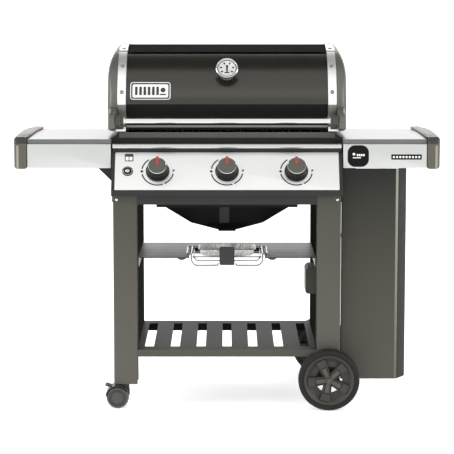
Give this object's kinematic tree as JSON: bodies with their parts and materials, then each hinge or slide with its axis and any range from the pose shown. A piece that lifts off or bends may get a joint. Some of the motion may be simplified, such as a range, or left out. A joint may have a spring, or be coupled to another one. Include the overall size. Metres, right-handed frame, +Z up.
{
  "type": "gas barbecue grill",
  "caption": "Gas barbecue grill on an open cart: hinged domed lid with thermometer, sloping control panel with knobs, side tables, slotted shelf, wheels and casters.",
  "frame": {"origin": "on the floor, under the centre of the whole grill's bounding box", "axes": "+X to the right of a user facing the controls, +Y from the controls to the back, +Z up"},
  "size_m": [1.448, 0.737, 1.2252],
  "materials": {
    "cart_paint": "satin grey-brown powder coat",
    "enamel": "glossy black porcelain enamel",
    "cast_aluminium": "satin grey coated casting",
    "stainless": "brushed stainless steel",
    "galvanised": "zinc-plated sheet",
    "dark_plastic": "matt dark grey moulding",
    "cap_plastic": "satin grey-brown moulding",
    "rubber": "ribbed dark rubber",
    "cast_iron": "black enamelled iron",
    "brass": "machined brass",
    "foil": "bright pressed foil"
  },
  "bodies": {
    "cart": {"front_left_leg": "cart_paint", "front_right_leg": "cart_paint", "rear_left_leg": "cart_paint", "rear_right_leg": "cart_paint", "front_crossmember": "cart_paint", "rear_crossmember": "cart_paint", "left_side_frame": "cart_paint", "right_side_frame": "cart_paint", "bottom_shelf": "cart_paint", "tank_screen": "cart_paint", "pan_shelf": "galvanised", "tank_hanger": "dark_plastic", "igniter_module": "dark_plastic", "wheel_axle": "stainless", "left_table": "stainless", "right_table": "stainless", "left_fascia": "stainless", "right_fascia": "stainless", "left_burner": "stainless", "centre_burner": "stainless", "right_burner": "stainless", "warming_rack": "stainless", "control_panel": "stainless", "front_rail": "stainless", "hinge_rod": "stainless", "left_end_cap": "cap_plastic", "right_end_cap": "cap_plastic", "cookbox": "cast_aluminium", "left_heat_bar": "cast_iron", "centre_heat_bar": "cast_iron", "right_heat_bar": "cast_iron", "left_grate": "cast_iron", "right_grate": "cast_iron", "gas_manifold": "brass"},
    "lid": {"lid_shell": "enamel", "left_lid_casting": "cast_aluminium", "right_lid_casting": "cast_aluminium", "lid_handle": "stainless", "thermometer": "stainless"},
    "front_wheel": {"front_tyre": "rubber", "front_rim": "dark_plastic"},
    "rear_wheel": {"rear_tyre": "rubber", "rear_rim": "dark_plastic"},
    "front_caster": {"front_caster_fork": "dark_plastic"},
    "front_caster_roller": {"front_caster_wheels": "rubber"},
    "front_caster_lever": {"front_caster_brake": "dark_plastic"},
    "rear_caster": {"rear_caster_fork": "dark_plastic"},
    "rear_caster_roller": {"rear_caster_wheels": "rubber"},
    "rear_caster_lever": {"rear_caster_brake": "dark_plastic"},
    "grease_drawer": {"grease_tray": "enamel"},
    "pan_carrier": {"pan_cradle": "stainless", "catch_pan": "foil", "pan_handle": "dark_plastic"},
    "igniter_push": {"igniter_button": "dark_plastic"},
    "left_tap_push": {"left_valve_collar": "brass"},
    "left_tap": {"left_knob": "dark_plastic"},
    "centre_tap_push": {"centre_valve_collar": "brass"},
    "centre_tap": {"centre_knob": "dark_plastic"},
    "right_tap_push": {"right_valve_collar": "brass"},
    "right_tap": {"right_knob": "dark_plastic"}
  },
  "joints": [
    {"name": "lid_hinge", "type": "hinge", "parent": "cart", "child": "lid", "pos_m": [0, 0.34, 0.955], "axis": [-1, 0, 0], "range_deg": [0, 88]},
    {"name": "front_wheel_roll", "type": "hinge", "parent": "cart", "child": "front_wheel", "pos_m": [0.345, -0.337, 0.104], "axis": [0, 1, 0], "continuous": true},
    {"name": "rear_wheel_roll", "type": "hinge", "parent": "cart", "child": "rear_wheel", "pos_m": [0.345, 0.273, 0.104], "axis": [0, 1, 0], "continuous": true},
    {"name": "front_caster_swivel", "type": "hinge", "parent": "cart", "child": "front_caster", "pos_m": [-0.344, -0.294, 0.1], "axis": [0, 0, 1], "continuous": true},
    {"name": "front_caster_roll", "type": "hinge", "parent": "front_caster", "child": "front_caster_roller", "pos_m": [-0.372, -0.294, 0.038], "axis": [0, 1, 0], "continuous": true},
    {"name": "front_caster_brake_press", "type": "hinge", "parent": "front_caster", "child": "front_caster_lever", "pos_m": [-0.396, -0.294, 0.074], "axis": [0, -1, 0], "range_deg": [0, 15]},
    {"name": "rear_caster_swivel", "type": "hinge", "parent": "cart", "child": "rear_caster", "pos_m": [-0.344, 0.23, 0.1], "axis": [0, 0, 1], "continuous": true},
    {"name": "rear_caster_roll", "type": "hinge", "parent": "rear_caster", "child": "rear_caster_roller", "pos_m": [-0.372, 0.23, 0.038], "axis": [0, 1, 0], "continuous": true},
    {"name": "rear_caster_brake_press", "type": "hinge", "parent": "rear_caster", "child": "rear_caster_lever", "pos_m": [-0.396, 0.23, 0.074], "axis": [0, -1, 0], "range_deg": [0, 15]},
    {"name": "left_tap_push_in", "type": "slide", "parent": "cart", "child": "left_tap_push", "axis": [0, 0.8181, -0.575], "range_m": [0, 0.004], "stiffness_N_per_m": 500},
    {"name": "left_tap_turn", "type": "hinge", "parent": "left_tap_push", "child": "left_tap", "pos_m": [-0.233, -0.298, 0.808], "axis": [0, -0.8181, 0.575], "range_deg": [0, 270]},
    {"name": "centre_tap_push_in", "type": "slide", "parent": "cart", "child": "centre_tap_push", "axis": [0, 0.8181, -0.575], "range_m": [0, 0.004], "stiffness_N_per_m": 500},
    {"name": "centre_tap_turn", "type": "hinge", "parent": "centre_tap_push", "child": "centre_tap", "pos_m": [0, -0.298, 0.808], "axis": [0, -0.8181, 0.575], "range_deg": [0, 270]},
    {"name": "right_tap_push_in", "type": "slide", "parent": "cart", "child": "right_tap_push", "axis": [0, 0.8181, -0.575], "range_m": [0, 0.004], "stiffness_N_per_m": 500},
    {"name": "right_tap_turn", "type": "hinge", "parent": "right_tap_push", "child": "right_tap", "pos_m": [0.233, -0.298, 0.808], "axis": [0, -0.8181, 0.575], "range_deg": [0, 270]},
    {"name": "igniter_push_in", "type": "slide", "parent": "cart", "child": "igniter_push", "axis": [0, 0.8181, -0.575], "range_m": [0, 0.004], "stiffness_N_per_m": 400},
    {"name": "grease_tray_slide", "type": "slide", "parent": "cart", "child": "grease_drawer", "axis": [0, -1, 0], "range_m": [0, 0.4]},
    {"name": "pan_slide", "type": "slide", "parent": "cart", "child": "pan_carrier", "axis": [0, -1, 0], "range_m": [0, 0.25]}
  ]
}
